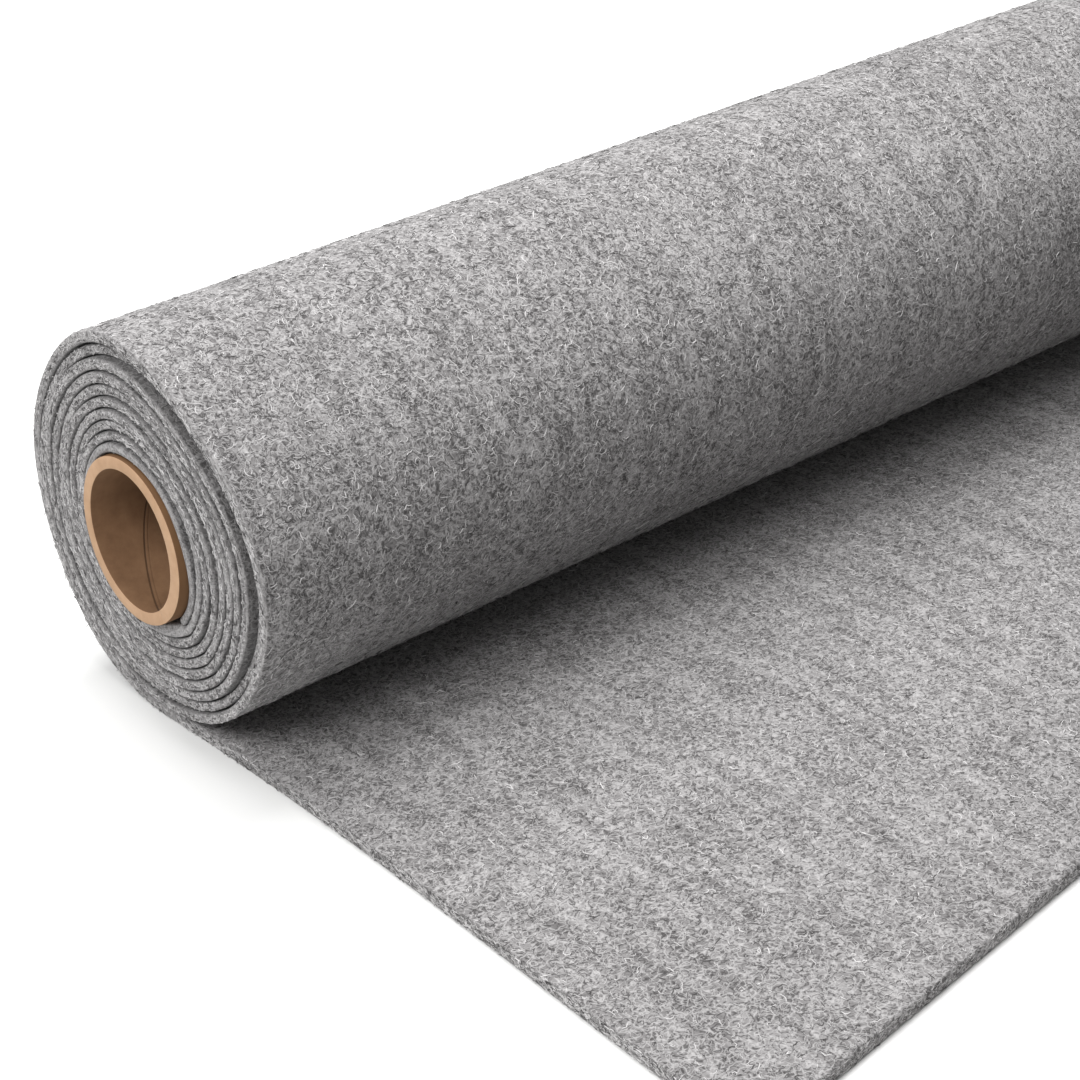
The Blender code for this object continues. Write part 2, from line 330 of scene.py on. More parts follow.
@dataclass(frozen=True)
class SpiralKraft:
    """Spirally wound kraft board: brown paper plies glued round a rod and sawn to length.

    It gives the eye a dull brown wall, a dark seam that climbs the bore, and a paler sawn end.
    """

    name: str = "spiral_kraft_board"
    cut: str = "B7977A"
    cut_dark: str = "9D7D60"
    bore: str = "7C5E44"
    bore_dark: str = "60452F"
    outside: str = "6C4E31"
    seam_dark: str = "2E1D10"
    fibre_size: float = 5.0 * MM
    mottle_size: float = 30.0 * MM
    mottle_floor: float = 0.3
    mottle_contrast: float = 2.5
    seam_pitch: float = 0.067
    seam_phase: float = 0.7122
    seam_share: float = 0.8
    seam_depth: float = 2.0
    seam_lines: tuple[tuple[float, float, float], ...] = ((0.5, 1.0, 130.0), (0.522, 0.35, 60.0))
    relief_strength: float = 0.5
    relief_depth: float = 0.25 * MM
    roughness: float = 0.85
    ior: float = 1.5
    specular: float = 0.3
    askew: float = 0.0
    centre_y: float = 0.0
    centre_z: float = 0.0
    bore_radius: float = 0.025
    bore_margin: float = 0.5 * MM
    half_length: float = 0.5061
    end_depth: float = 0.25 * MM

    def build(self) -> bpy.types.Material:
        """Builds the material.

        Returns:
            The board's material, whose seam, cut ends and bore are found from where a point lies.
        """
        material, tree, shader = new_material(self.name)
        add = partial(add_node, tree)
        place = add("ShaderNodeTexCoord", output="Object")
        centred = add("ShaderNodeMapping", {"vector_type": "POINT"},
                      {"Vector": place, "Location": (0.0, -self.centre_y, -self.centre_z)})
        x, y, z = add("ShaderNodeSeparateXYZ", None, (centred,)).node.outputs

        # The seam, and beside it the fainter edge of the ply below, by the share of a turn that they climb.
        angle = add(MATH, DIVIDE, (add(MATH, ANGLE, (z, y)), 2.0 * math.pi))
        climb = add(MATH, SUBTRACT, (add(MATH, DIVIDE, (x, self.seam_pitch)), angle))
        climb = add(MATH, FRACTION, (add(MATH, ADD, (climb, self.seam_phase)),))
        lines = []
        for middle, height, slope in self.seam_lines:
            away = add(MATH, ABSOLUTE, (add(MATH, SUBTRACT, (climb, middle)),))
            lines.append(add(MATH, SUBTRACT | HELD, (height, add(MATH, MULTIPLY, (away, slope)))))
        seam = add(MATH, MAXIMUM, tuple(lines))

        squares = add(MATH, ADD, (add(MATH, MULTIPLY, (y, y)), add(MATH, MULTIPLY, (z, z))))
        inside = add(MATH, LESS, (add(MATH, ROOT, (squares,)), self.bore_radius + self.bore_margin))
        leaning = add(MATH, SUBTRACT, (x, add(MATH, MULTIPLY, (z, self.askew))))
        at_end = add(MATH, ADD | HELD, (add(MATH, LESS, (leaning, self.end_depth - self.half_length)),
                                        add(MATH, MORE, (x, self.half_length - self.end_depth))))

        fibres = add(NOISE, SOLID, {"Vector": place, "Scale": 1.0 / self.fibre_size, "Detail": 5.0,
                                    "Roughness": 0.65}, "Fac")
        mottle = add(NOISE, SOLID, {"Vector": place, "Scale": 1.0 / self.mottle_size, "Detail": 3.0}, "Fac")
        level = add(MATH, MULTIPLY, (add(MATH, ADD, (fibres, mottle)), 0.5))
        level = add(MATH, MULTIPLY | HELD, (add(MATH, SUBTRACT, (level, self.mottle_floor)), self.mottle_contrast))
        inner, outer, end = (
            add(MIX, COLOURS, {0: level, 6: linear(low), 7: linear(high)}, 2)
            for low, high in ((self.bore_dark, self.bore), (self.bore_dark, self.outside), (self.cut_dark, self.cut)))
        seam_share = add(MATH, MULTIPLY, (seam, self.seam_share))
        inner = add(MIX, COLOURS, {0: seam_share, 6: inner, 7: linear(self.seam_dark)}, 2)
        walls = add(MIX, COLOURS, {0: inside, 6: outer, 7: inner}, 2)
        colour = add(MIX, COLOURS, {0: at_end, 6: walls, 7: end}, 2)
        tree.links.new(colour, shader.inputs["Base Color"])
        height = add(MATH, SUBTRACT, (level, add(MATH, MULTIPLY, (seam, self.seam_depth))))
        bump = add(BUMP, None, {"Height": height, "Strength": self.relief_strength, "Distance": self.relief_depth})
        tree.links.new(bump, shader.inputs["Normal"])
        shader.inputs["Roughness"].default_value = self.roughness
        shader.inputs["IOR"].default_value = self.ior
        shader.inputs["Specular IOR Level"].default_value = self.specular
        return material


@dataclass
class Winding:
    """The line that the felt follows from its end on the core to its cut end on the table."""

    width: float = 1.000
    loose_thickness: float = 0.0052
    hole_radius: float = 0.0299
    wound_radius: float = 0.0688
    turns: float = 9.875
    start_turn: float = 0.125
    turns_loosen: float = 0.10
    climb_power: float = 12.0
    first_climb: float = 60.0
    core_rise: float = 0.0014
    core_forward: float = 0.0013
    telescope: float = 0.0031
    axis_y: float = 0.108688
    axis_height: float = 0.0717
    flat_length: float = 3.36
    mean_length: float = 3.355
    loose_length: float = 0.2900
    cut_slope: float = 0.1290
    askew_until: float = 0.179
    square_from: float = 0.286
    side_cubic: tuple[float, float, float] = (0.0188, -0.0332, 0.0147)
    out_of_round: tuple[tuple[int, float, float], ...] = (
        (2, -0.0009, -0.0017), (3, -0.0007, -0.0013), (4, 0.0003, 0.0007), (5, -0.0007, 0.0))

    def radius(self, turn: np.ndarray) -> np.ndarray:
        """The radius of the face between turns.

        Args:
            turn: Turns from the felt's inner end.

        Returns:
            The radius at each, in metres.
        """
        whole = np.floor(turn)
        part = turn - whole
        wound = np.clip(turn / self.turns, 0.0, 1.0)
        power = 1.0 + (self.climb_power - 1.0) * (1.0 - wound) ** 2
        power = np.where(whole < 1.0, self.first_climb, power)
        share = (whole + part**power) / self.turns
        share = share * (1.0 + self.turns_loosen * share) / (1.0 + self.turns_loosen)
        inner = self.hole_radius + (self.wound_radius - self.hole_radius) * share
        outer = self.wound_radius + self.loose_thickness * (turn - self.turns)
        return np.where(turn > self.turns, outer, inner)

    def place(self, turn: np.ndarray, inset: np.ndarray | float = 0.0) -> tuple[np.ndarray, np.ndarray]:
        """Where the face between turns lies.

        Args:
            turn: Turns from the felt's inner end.
            inset: How far outwards of that face, in metres.

        Returns:
            Y and Z in the part's frame.
        """
        angle = (self.start_turn + turn) * 2.0 * math.pi
        inwards = 1.0 - smooth((turn - 1.0) / (self.turns - 1.0))
        radius = self.radius(turn)
        outwards = np.minimum((radius - self.hole_radius) / (self.wound_radius - self.hole_radius), 1.0)
        lobes = sum(cosine * np.cos(count * angle) + sine * np.sin(count * angle)
                    for count, cosine, sine in self.out_of_round)
        radius = radius + inset + outwards * lobes
        y = self.axis_y - self.core_forward * inwards - radius * np.sin(angle)
        z = self.axis_height + self.core_rise * inwards - radius * np.cos(angle)
        return y, z

    def slid(self, turn: np.ndarray) -> np.ndarray:
        """How far the felt's ends have slid towards -X at each turn."""
        return self.telescope * np.clip(1.0 - turn / self.turns, 0.0, 1.0)

    def cut_reach(self, across: np.ndarray) -> np.ndarray:
        """How far forward of the axis the loose end is cut.

        Args:
            across: Distance from the loose end's -X side.

        Returns:
            The distance forward at each.
        """
        askew = np.minimum(across, self.askew_until)
        easing_width = self.square_from - self.askew_until
        easing = np.clip((across - self.askew_until) / easing_width, 0.0, 1.0)
        eased = easing_width * (easing - easing * easing / 2.0)
        return self.loose_length - self.cut_slope * (askew + eased)

    def side_shift(self, forward: np.ndarray) -> np.ndarray:
        """How far towards +X the loose end lies, this far forward of the axis."""
        share = forward / self.loose_length
        return sum(factor * share ** (power + 1) for power, factor in enumerate(self.side_cubic))


@dataclass(frozen=True)
class BakeBands:
    """Where the ribbon's parts lie in its UV map for baking: each band's lowest V and its height."""

    roll: tuple[float, float] = (0.0, 0.50)
    sheet: tuple[float, float] = (0.505, 0.295)
    near_rims: tuple[float, float] = (0.81, 0.06)
    far_rims: tuple[float, float] = (0.875, 0.06)
    hidden: tuple[float, float] = (0.94, 0.02)
    hidden_outer: float = 0.022
    caps: tuple[float, float] = (0.988, 0.01)
    cap_width: float = 0.24


@dataclass
class FeltLength:
    """The whole length of felt as one closed ribbon: its turns on the core and its loose end."""

    winding: Winding
    steps_per_turn: int = 80
    loose_steps: int = 60
    across: int = 25
    rim_points: int = 7
    rim_reach: float = 0.0010
    rim_fullness: float = 3.2
    loose_rim: float = 0.5
    rim_eases: float = 0.2
    gap: float = 0.0005
    end_steps: int = 5
    end_round: float = 0.0010
    end_thinness: float = 0.12
    end_fullness: float = 0.45
    first_push: float = 0.0005
    first_push_turns: tuple[float, float] = (0.5, 1.2)
    sunk_turns: tuple[float, float, float, float] = (7.90, 8.08, 8.30, 8.60)
    sunk_depth: float = 0.0026
    sunk_gap: float = 0.0006
    uneven_ends: float = 0.0008
    uneven_turns: tuple[float, ...] = (1.37, 0.61, 0.23)
    uneven_seed: int = 5
    # Painted shade in the grooves starts this far from the felt's middle towards its faces, as a share.
    groove_shade_from: float = 0.62
    bands: BakeBands = BakeBands()
    rows: list[int] = field(default_factory=list)

    def ring_profile(self) -> tuple[np.ndarray, np.ndarray, np.ndarray, np.ndarray]:
        """The ribbon's cross-section, once round from the inner face's -X side.

        Returns:
            The side (-1 or 1) and inset of each point from that side, its depth from 0 on the inner face to 1
            on the outer, and how much it belongs to the cut side.
        """
        faces = np.linspace(-1.0, 1.0, self.across)
        bow = np.linspace(-0.5, 0.5, self.rim_points + 2)[1:-1] * math.pi
        power = 2.0 / self.rim_fullness
        out = self.rim_reach * (np.cos(bow) ** power)
        depth = 0.5 + 0.5 * np.sign(np.sin(bow)) * np.abs(np.sin(bow)) ** power
        x_share = np.concatenate([faces, np.ones_like(bow), faces[::-1], -np.ones_like(bow)])
        flat, full = np.zeros(self.across), np.ones(self.across)
        reach = np.concatenate([flat, out, flat, -out])
        depths = np.concatenate([flat, depth, full, depth[::-1]])
        rim = np.concatenate([flat, np.ones_like(bow), flat, np.ones_like(bow)])
        return x_share, reach, depths, rim

    def wound_rings(self) -> tuple[np.ndarray, np.ndarray]:
        """The rings of the wound part.

        Returns:
            Points by ring and place in the ring, and the length of felt up to each ring.
        """
        winding = self.winding
        x_share, reach, depths, _ = self.ring_profile()
        count = int(round(winding.turns * self.steps_per_turn))
        turn = np.linspace(0.0, winding.turns, count + 1)
        sunk = self.sunk(turn)
        inner = np.stack(winding.place(turn, self.gap / 2.0), -1)
        outer = np.stack(winding.place(turn + 1.0, -self.gap / 2.0 - self.sunk_gap * sunk), -1)
        outer[:, 1] = np.maximum(outer[:, 1], 0.0)
        middle = (inner + outer) / 2.0
        length = np.concatenate([[0.0], np.cumsum(np.linalg.norm(np.diff(middle, axis=0), axis=1))])
        half = winding.width / 2.0 - self.rim_reach
        points = np.zeros((len(turn), len(x_share), 3))
        section = inner[:, None, :] * (1.0 - depths)[None, :, None] + outer[:, None, :] * depths[None, :, None]
        points[:, :, 1:] = section
        push_from, push_over = self.first_push_turns
        slid = winding.slid(turn) + self.first_push * (1.0 - smooth((turn - push_from) / push_over))
        points[:, :, 0] = x_share * (half + self.end_reach(turn)[:, None]) + reach - slid[:, None]
        return points, length

    def end_reach(self, turn: np.ndarray) -> np.ndarray:
        """How far each turn reaches past an even end of the roll.

        Args:
            turn: Turns from the felt's inner end.

        Returns:
            The reach at each, in metres; less than 0 where it falls short.
        """
        return self.uneven_ends * waves(turn, self.uneven_turns, self.uneven_seed) - self.sunk_depth * self.sunk(turn)

    def sunk(self, turn: np.ndarray) -> np.ndarray:
        """How far each turn has sunk between its neighbours: one does, round the front, and leaves a dark line.

        Args:
            turn: Turns from the felt's inner end.

        Returns:
            A share from 0 to 1 at each.
        """
        start, full, ease, end = self.sunk_turns
        return smooth((turn - start) / (full - start)) * (1.0 - smooth((turn - ease) / (end - ease)))

    def loose_rings(self) -> tuple[np.ndarray, np.ndarray]:
        """The rings of the loose end.

        Returns:
            Points by ring and place in the ring, and how far forward of the axis each is at the -X side.
        """
        winding = self.winding
        x_share, reach, depths, _ = self.ring_profile()
        share = np.linspace(0.0, 1.0, self.loose_steps + 1)[1:]
        fuller = 1.0 - (1.0 - self.loose_rim) * smooth(share / self.rim_eases)[:, None]
        half = winding.width / 2.0 - self.rim_reach * fuller
        across = x_share * half + half
        forward = share[:, None] * winding.cut_reach(across)
        points = np.zeros((len(share), len(x_share), 3))
        points[:, :, 0] = x_share * half + reach * fuller + winding.side_shift(forward)
        points[:, :, 1] = winding.axis_y - forward
        points[:, :, 2] = winding.loose_thickness * (1.0 - depths)[None, :]
        return points, forward

    def round_off(self, points: np.ndarray, ring: int, beyond: np.ndarray) -> np.ndarray:
        """Rings that close an end of the ribbon in a soft round.

        Args:
            points: All rings.
            ring: The ring that the end is at.
            beyond: The direction out of the end, for each point of that ring.

        Returns:
            The closing rings, from the end outwards.
        """
        base = points[ring]
        partner = base[self.partners()]
        middle = (base + partner) / 2.0
        rings = []
        for step in range(1, self.end_steps + 1):
            turn = step / self.end_steps * math.pi / 2.0
            thin = max(math.cos(turn), self.end_thinness) ** self.end_fullness
            rings.append(middle + (base - middle) * thin + beyond * self.end_round * math.sin(turn))
        return np.array(rings)

    def partners(self) -> list[int]:
        """Pairs the points of a ring.

        Returns:
            For each point of a ring, the number of the one straight across the felt's thickness.
        """
        a, r = self.across, self.rim_points
        inner = list(range(2 * a + r - 1, a + r - 1, -1))
        right = list(range(a + r - 1, a - 1, -1))
        outer = list(range(a - 1, -1, -1))
        left = list(range(2 * a + 2 * r - 1, 2 * a + r - 1, -1))
        return inner + right + outer + left

    def cap_faces(self) -> list[list[int]]:
        """Closes one end of the ribbon.

        Returns:
            The closing faces, each between points that lie across the felt from each other.
        """
        a, r = self.across, self.rim_points
        width = 2 * a + 2 * r
        faces = [[i, i + 1, 2 * a + r - 2 - i, 2 * a + r - 1 - i] for i in range(a - 1)]
        for first, last in ((a - 1, a + r), (2 * a + r - 1, width)):
            while last - first > 2:
                faces.append([first, first + 1, last - 1, last % width])
                first, last = first + 1, last - 1
            faces.append([first, first + 1, last % width])
        return faces

    def build(self, material: bpy.types.Material) -> bpy.types.Object:
        """Builds the ribbon.

        Args:
            material: The felt's material.

        Returns:
            The ribbon's object.
        """
        wound, length = self.wound_rings()
        loose, forward = self.loose_rings()
        points = np.concatenate([wound, loose])
        width = points.shape[1]
        along = np.concatenate([np.repeat(length[:, None], width, 1), length[-1] + forward])
        start_way = points[0] - points[1]
        start_way /= np.linalg.norm(start_way, axis=1, keepdims=True)
        end_way = points[-1] - points[-2]
        end_way /= np.linalg.norm(end_way, axis=1, keepdims=True)
        start = self.round_off(points, 0, start_way)[::-1]
        end = self.round_off(points, -1, end_way)
        along = np.concatenate([np.repeat(along[:1], len(start), 0), along, np.repeat(along[-1:], len(end), 0)])
        points = np.concatenate([start, points, end])
        self.rows = [len(start), len(start) + len(wound), len(points)]
        count = len(points)
        index = np.arange(count * width).reshape(count, width)
        nxt = np.roll(index, -1, axis=1)
        quads = np.stack([index[:-1], index[1:], nxt[1:], nxt[:-1]], -1).reshape(-1, 4)
        caps = [[int(index[0][i]) for i in face] for face in self.cap_faces()]
        caps += [[int(index[-1][i]) for i in face[::-1]] for face in self.cap_faces()]
        mesh = bpy.data.meshes.new("felt_length")
        mesh.from_pydata(points.reshape(-1, 3).tolist(), [], quads.tolist() + caps)
        self.write_cloth_map(mesh, points, along, width)
        _, _, _, rim = self.ring_profile()
        attribute = mesh.attributes.new("rim", "FLOAT", "POINT")
        attribute.data.foreach_set("value", np.tile(rim, count).astype(np.float32))
        # How much shade is painted into each point deep in a groove between turns.
        attribute = mesh.attributes.new("groove", "FLOAT", "POINT")
        attribute.data.foreach_set("value", self.painted_groove_shade_mask(count).astype(np.float32).ravel())
        self.write_bake_map(mesh, count, width)
        mesh.materials.append(material)
        mesh.shade_smooth()
        felt = bpy.data.objects.new("felt_length", mesh)
        bpy.context.scene.collection.objects.link(felt)
        return felt

    def painted_groove_shade_mask(self, rings: int) -> np.ndarray:
        """How deep each point lies in the grooves between turns, from 0 to 1: how much shade is painted into the felt
        there.

        Args:
            rings: The ribbon's number of rings.

        Returns:
            A share for each ring and place in the ring.
        """
        _, _, depths, _ = self.ring_profile()
        off_middle = 2.0 * depths - 1.0
        deep = (np.abs(off_middle) - self.groove_shade_from) / (1.0 - self.groove_shade_from)
        share = np.tile(np.clip(deep, 0.0, 1.0), (rings, 1))
        # The loose end and the roll's outer face get no painted shade.
        share[self.rows[1] - 1:] = 0.0
        share[self.rows[1] - 1 - self.steps_per_turn:, off_middle > 0.0] = 0.0
        return share

    def write_cloth_map(self, mesh: bpy.types.Mesh, points: np.ndarray, along: np.ndarray, width: int) -> None:
        """Writes the UV map that follows the felt: metres along it, and metres round its section.

        Args:
            mesh: The ribbon's mesh.
            points: All rings.
            along: Metres along the felt at each point.
            width: Points in a ring.
        """
        step = np.linalg.norm(np.roll(points, -1, axis=1) - points, axis=2)
        round_it = np.concatenate([np.zeros((len(points), 1)), np.cumsum(step, axis=1)], axis=1)
        layer = mesh.uv_layers.new(name="cloth")
        corners = np.zeros(len(mesh.loops), dtype=np.int64)
        mesh.loops.foreach_get("vertex_index", corners)
        ring, spot = np.divmod(corners, width)
        u = along[ring, spot]
        v = round_it[ring, spot]
        starts = np.zeros(len(mesh.polygons), dtype=np.int64)
        mesh.polygons.foreach_get("loop_start", starts)
        totals = np.zeros(len(mesh.polygons), dtype=np.int64)
        mesh.polygons.foreach_get("loop_total", totals)
        quads = starts[totals == 4]
        four = quads[:, None] + np.arange(4)[None, :]
        wraps = (spot[four].max(1) == width - 1) & (spot[four].min(1) == 0)
        chosen = four[wraps]
        at_seam = spot[chosen] == 0
        v[chosen[at_seam]] = round_it[ring[chosen[at_seam]], width]
        layer.data.foreach_set("uv", np.stack([u, v], -1).astype(np.float32).ravel())

    def write_bake_map(self, mesh: bpy.types.Mesh, rings: int, width: int) -> None:
        """Writes a UV map for baking: the faces that show get most of it, the hidden turns a thin band.

        Args:
            mesh: The ribbon's mesh.
            rings: Its number of rings.
            width: Points in a ring.
        """
        a, r, bands = self.across, self.rim_points, self.bands
        first_wound, first_loose = self.rows[0], self.rows[1] - 1
        ring, spot = (grid.ravel() for grid in np.meshgrid(np.arange(rings - 1), np.arange(width), indexing="ij"))
        outer, near_rim = (spot >= a + r) & (spot < 2 * a + r - 1), spot >= 2 * a + r - 1
        far_rim = (spot >= a - 1) & (spot < a + r)
        last_turn = first_loose - self.steps_per_turn
        on_roll = outer & (ring >= last_turn) & (ring < first_loose)
        on_sheet = (spot < a - 1) & (ring >= first_loose)
        row = (ring - first_wound) // self.steps_per_turn + 1
        row = np.where(ring >= first_loose, row[ring < first_loose].max() + 1, row)
        row_start = np.array([ring[row == number].min() for number in range(row.max() + 1)])
        row_long = np.array([np.ptp(ring[row == number]) + 1 for number in range(row.max() + 1)])
        uv = np.zeros((len(ring), 4, 2))
        for corner, (ahead, aside) in enumerate(((0, 0), (1, 0), (1, 1), (0, 1))):
            at_ring, at_spot = ring + ahead, spot + aside
            face_share = (at_spot - np.where(outer, a + r, 0)) / (a - 1.0)
            u = at_ring / rings
            v = bands.hidden[0] + bands.hidden[1] * face_share + bands.hidden_outer * outer
            u = np.where(on_roll | on_sheet, face_share, u)
            roll_share = (at_ring - last_turn) / self.steps_per_turn
            v = np.where(on_roll, bands.roll[0] + bands.roll[1] * roll_share, v)
            sheet_share = (at_ring - first_loose) / (rings - 1.0 - first_loose)
            v = np.where(on_sheet, bands.sheet[0] + bands.sheet[1] * sheet_share, v)
            along_row = (at_ring - row_start[row]) / row_long[row]
            rim_share = (at_spot - np.where(near_rim, 2 * a + r - 1, a - 1)) / (r + 1.0)
            low = np.where(near_rim, bands.near_rims[0], bands.far_rims[0])
            rim_v = low + bands.near_rims[1] * (row + 0.1 + 0.8 * rim_share) / (row.max() + 1)
            u = np.where(near_rim | far_rim, along_row, u)
            v = np.where(near_rim | far_rim, rim_v, v)
            uv[:, corner] = np.stack([u, v], -1)
        x_share, _, depths, _ = self.ring_profile()
        caps = []
        for start in (0.0, 0.5):
            for face in self.cap_faces():
                face = face if start == 0.0 else face[::-1]
                caps += [(start + bands.cap_width * (x_share[i] + 1.0), bands.caps[0] + bands.caps[1] * depths[i])
                         for i in face]
        layer = mesh.uv_layers.new(name="OFBake")
        layer.data.foreach_set("uv", np.concatenate([uv.reshape(-1, 2), caps]).astype(np.float32).ravel())


@dataclass
class Patch:
    """Places on the felt for fibres: points, with the ways along the felt, across it and out of it."""

    point: np.ndarray
    along: np.ndarray
    across: np.ndarray
    out: np.ndarray


@dataclass
class Fuzz:
    """Loose crimped fibres on the felt's faces and cut sides, each a thin curved strip.

    Real ones are about 0.03 mm thick, finer than a pixel, so they are drawn wider, to show.
    """

    winding: Winding
    felt: FeltLength
    pale: LooseFibre = LooseFibre("pale_crimped_fibre", "A9A7A7", "CFCDCD")
    dark: LooseFibre = LooseFibre("dark_crimped_fibre", "3E3C3C", "565454")
    end_count: int = 5600
    side_count: int = 1200
    cut_count: int = 3200
    points: int = 5
    shortest: float = 2.2 * MM
    longest: float = 4.8 * MM
    width: float = 0.25 * MM
    height: float = 0.05 * MM
    rim_length: float = 0.7
    rim_turn: float = 0.30
    rim_bend: float = 0.6
    rim_lift: tuple[float, float] = (0.02, 0.2)
    face_bend: float = 1.5
    face_lift: tuple[float, float] = (0.0, 0.2)
    twist: float = 1.0
    lean: float = 0.5
    widths: tuple[float, float] = (0.6, 1.25)
    tip_width: float = 0.35
    roll_turns: tuple[float, float] = (0.04, 0.96)
    sheet_shares: tuple[float, float] = (0.06, 0.995)
    edge_depths: tuple[float, float] = (0.12, 0.95)
    face_margin: float = 1.0 * MM
    end_spread: float = 0.72
    end_depths: tuple[float, float] = (0.2, 0.8)
    side_shares: tuple[float, float] = (0.02, 1.0)
    cut_height: float = 0.9
    step_ahead: float = 0.002

    def on_roll(self, count: int, rng: np.random.Generator) -> Patch:
        """Places on the outside of the roll.

        Args:
            count: How many.
            rng: The source of chance.

        Returns:
            The places.
        """
        winding = self.winding
        first, last = self.roll_turns
        turn = rng.uniform(winding.turns + first, winding.turns + last, count)
        x = rng.uniform(-0.5, 0.5, count) * (winding.width - self.face_margin)
        y, z = winding.place(turn, -self.felt.gap / 2.0)
        ahead_y, ahead_z = winding.place(turn + self.step_ahead, -self.felt.gap / 2.0)
        along = np.stack([np.zeros(count), ahead_y - y, ahead_z - z], -1)
        along /= np.linalg.norm(along, axis=1, keepdims=True)
        across = np.tile((1.0, 0.0, 0.0), (count, 1))
        out = np.stack([np.zeros(count), along[:, 2], -along[:, 1]], -1)
        centre = np.array((winding.axis_y, winding.axis_height))
        outward = (np.stack([y, z], -1) - centre) * out[:, 1:]
        out[outward.sum(1) < 0.0] *= -1.0
        return Patch(np.stack([x, y, z], -1), along, across, out)

    def on_sheet(self, count: int, rng: np.random.Generator) -> Patch:
        """Places on the top of the loose end.

        Args:
            count: How many.
            rng: The source of chance.

        Returns:
            The places.
        """
        winding = self.winding
        share = rng.uniform(*self.sheet_shares, count)
        across_at = rng.uniform(0.0, winding.width, count)
        forward = share * winding.cut_reach(across_at)
        x = across_at - winding.width / 2.0 + winding.side_shift(forward)
        point = np.stack([x, winding.axis_y - forward, np.full(count, winding.loose_thickness)], -1)
        return Patch(point, np.tile((0.0, -1.0, 0.0), (count, 1)), np.tile((1.0, 0.0, 0.0), (count, 1)),
                     np.tile((0.0, 0.0, 1.0), (count, 1)))

    def on_end(self, count: int, side: Side, rng: np.random.Generator) -> Patch:
        """Places on the turns' cut sides at one end of the roll.

        Args:
            count: How many.
            side: Which end.
            rng: The source of chance.

        Returns:
            The places.
        """
        winding = self.winding
        turn = winding.turns * rng.uniform(0.0, 1.0, count) ** self.end_spread
        depth = rng.uniform(*self.end_depths, count)
        inner = np.stack(winding.place(turn), -1)
        outer = np.stack(winding.place(turn + 1.0), -1)
        section = inner * (1.0 - depth[:, None]) + outer * depth[:, None]
        ahead = np.stack(winding.place(turn + self.step_ahead), -1) - inner
        ahead /= np.linalg.norm(ahead, axis=1, keepdims=True)
        # The cut side bows out, so a fibre away from its middle lies deeper.
        bow = np.abs(2.0 * depth - 1.0) ** self.felt.rim_fullness
        fall = self.felt.rim_reach * (1.0 - (1.0 - bow) ** (1.0 / self.felt.rim_fullness))
        x = side.value * (winding.width / 2.0 + self.felt.end_reach(turn) - fall) - winding.slid(turn)
        blank = np.zeros(count)
        along = np.stack([blank, ahead[:, 0], ahead[:, 1]], -1)
        out = np.tile((float(side.value), 0.0, 0.0), (count, 1))
        return Patch(np.stack([x, section[:, 0], section[:, 1]], -1), along, np.cross(out, along), out)

    def on_side(self, count: int, side: Side, rng: np.random.Generator) -> Patch:
        """Places on one cut side of the loose end.

        Args:
            count: How many.
            side: Which side.
            rng: The source of chance.

        Returns:
            The places.
        """
        winding = self.winding
        across_at = 0.0 if side is Side.NEAR else winding.width
        forward = rng.uniform(*self.side_shares, count) * winding.cut_reach(np.array(across_at))
        x = across_at - winding.width / 2.0 + winding.side_shift(forward)
        z = winding.loose_thickness * rng.uniform(*self.edge_depths, count)
        out = np.tile((float(side.value), 0.0, 0.0), (count, 1))
        along = np.tile((0.0, -1.0, 0.0), (count, 1))
        return Patch(np.stack([x, winding.axis_y - forward, z], -1), along,
                     np.tile((0.0, 0.0, 1.0), (count, 1)), out)

    def on_cut(self, count: int, rng: np.random.Generator) -> Patch:
        """Places on the loose end's cut edge.

        Args:
            count: How many.
            rng: The source of chance.

        Returns:
            The places.
        """
        winding = self.winding
        across_at = rng.uniform(0.0, winding.width, count)
        forward = winding.cut_reach(across_at)
        x = across_at - winding.width / 2.0 + winding.side_shift(forward)
        z = winding.loose_thickness * rng.uniform(*self.edge_depths, count)
        y = winding.axis_y - forward - self.felt.end_round * self.cut_height
        out = np.tile((0.0, -1.0, 0.0), (count, 1))
        return Patch(np.stack([x, y, z], -1), np.tile((1.0, 0.0, 0.0), (count, 1)),
                     np.tile((0.0, 0.0, 1.0), (count, 1)), out)

    def strips(self, patch: Patch, lay: Lay, rng: np.random.Generator) -> np.ndarray:
        """Lays one curved strip at each place.

        Args:
            patch: The places.
            lay: How the fibres lie.
            rng: The source of chance.

        Returns:
            Each strip's points, two by two along it.
        """
        count = len(patch.point)
        share = np.linspace(0.0, 1.0, self.points)
        length = rng.uniform(self.shortest, self.longest, count)
        if lay is Lay.ON_RIM:
            heading = rng.normal(0.0, self.rim_turn, count) + math.pi * rng.integers(0, 2, count)
            bend = rng.normal(0.0, self.rim_bend, count)
            lift = rng.uniform(*self.rim_lift, count) * MM
            length *= self.rim_length
        else:
            heading = rng.uniform(0.0, 2.0 * math.pi, count)
            bend = rng.normal(0.0, self.face_bend, count)
            lift = rng.uniform(*self.face_lift, count) * MM
        twist = rng.normal(0.0, self.twist, count)
        middle = (share[:-1] + share[1:]) / 2.0
        way = (heading[:, None] + bend[:, None] * (middle - 0.5) * 2.0
               + twist[:, None] * np.sin(2.0 * math.pi * middle))
        step = (length / (self.points - 1))[:, None]
        go_along = np.concatenate([np.zeros((count, 1)), np.cumsum(np.cos(way) * step, axis=1)], axis=1)
        go_across = np.concatenate([np.zeros((count, 1)), np.cumsum(np.sin(way) * step, axis=1)], axis=1)
        go_along -= go_along.mean(1, keepdims=True)
        go_across -= go_across.mean(1, keepdims=True)
        rise = lift[:, None] * np.sin(math.pi * share)[None, :] + self.height
        spine = (patch.point[:, None, :] + go_along[..., None] * patch.along[:, None, :]
                 + go_across[..., None] * patch.across[:, None, :] + rise[..., None] * patch.out[:, None, :])
        tangent = np.gradient(spine, axis=1)
        tangent /= np.linalg.norm(tangent, axis=2, keepdims=True)
        lean = rng.normal(0.0, self.lean, count)[:, None, None]
        flat = np.cross(patch.out[:, None, :], tangent)
